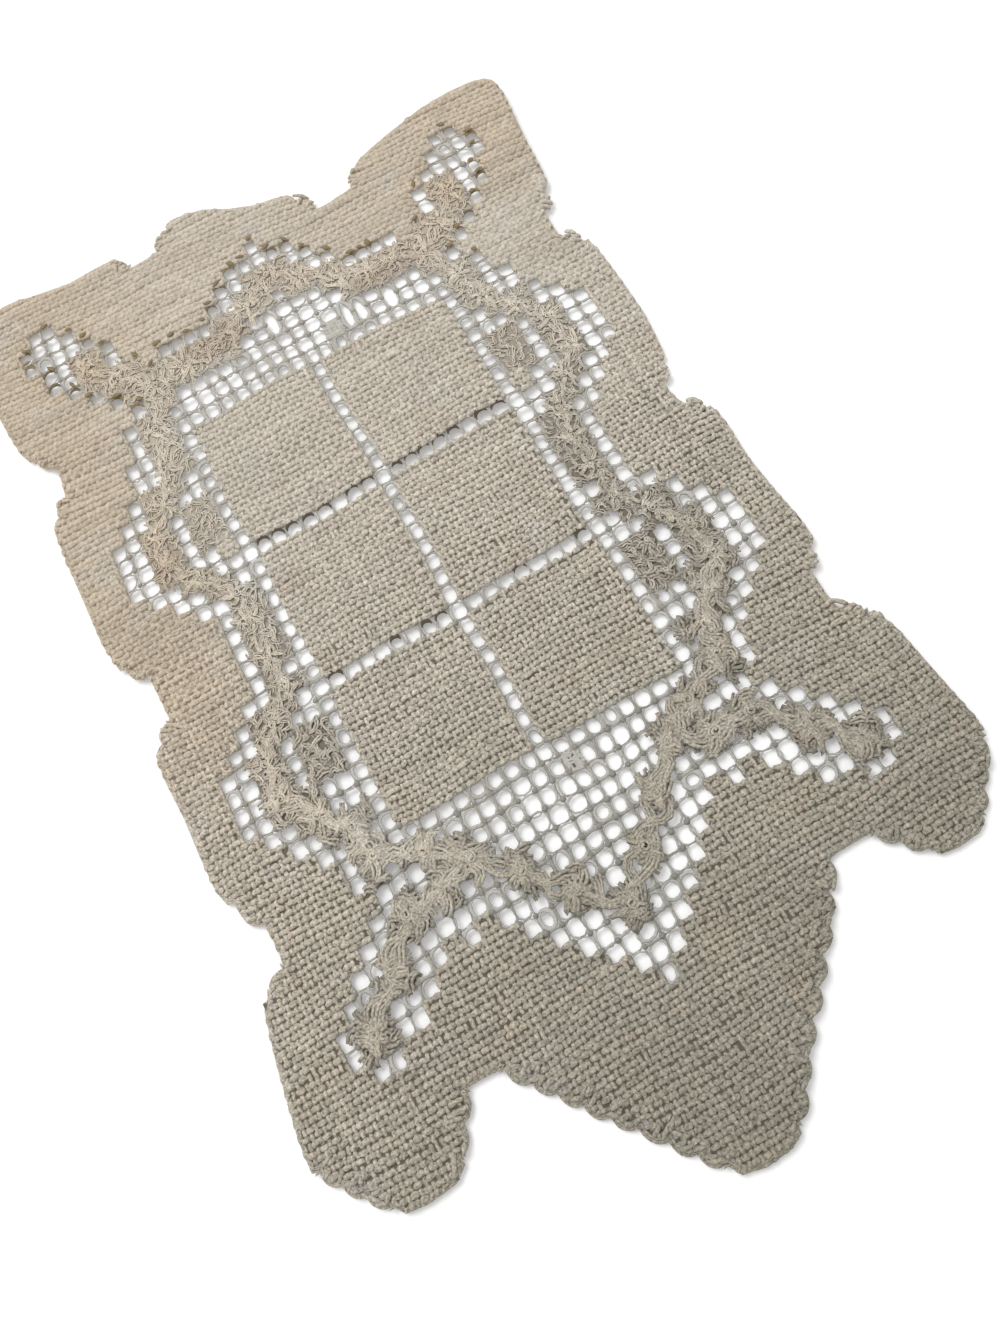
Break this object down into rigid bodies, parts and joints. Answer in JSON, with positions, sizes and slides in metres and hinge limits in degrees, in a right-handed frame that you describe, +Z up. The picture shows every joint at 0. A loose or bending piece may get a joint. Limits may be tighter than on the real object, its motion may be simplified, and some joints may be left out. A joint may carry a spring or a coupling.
{
  "type": "filet lace table mat",
  "caption": "Flat openwork table mat of darned knotted net: a window of cloth panes, lace with a raised band of star knots, scalloped lobes at the sides and a pointed end.",
  "frame": {"origin": "middle of the mat's outline box, on the surface it lies on", "axes": "+Z up out of the mat's right side, +Y along its length towards the blunt far end, the pointed end towards -Y"},
  "size_m": [0.2682, 0.4456, 0.0039],
  "materials": {
    "cotton_thread": "matte undyed cotton thread, aged beige with greyer patches"
  },
  "bodies": {
    "root": {"lace_mat": "cotton_thread"}
  },
  "joints": []
}
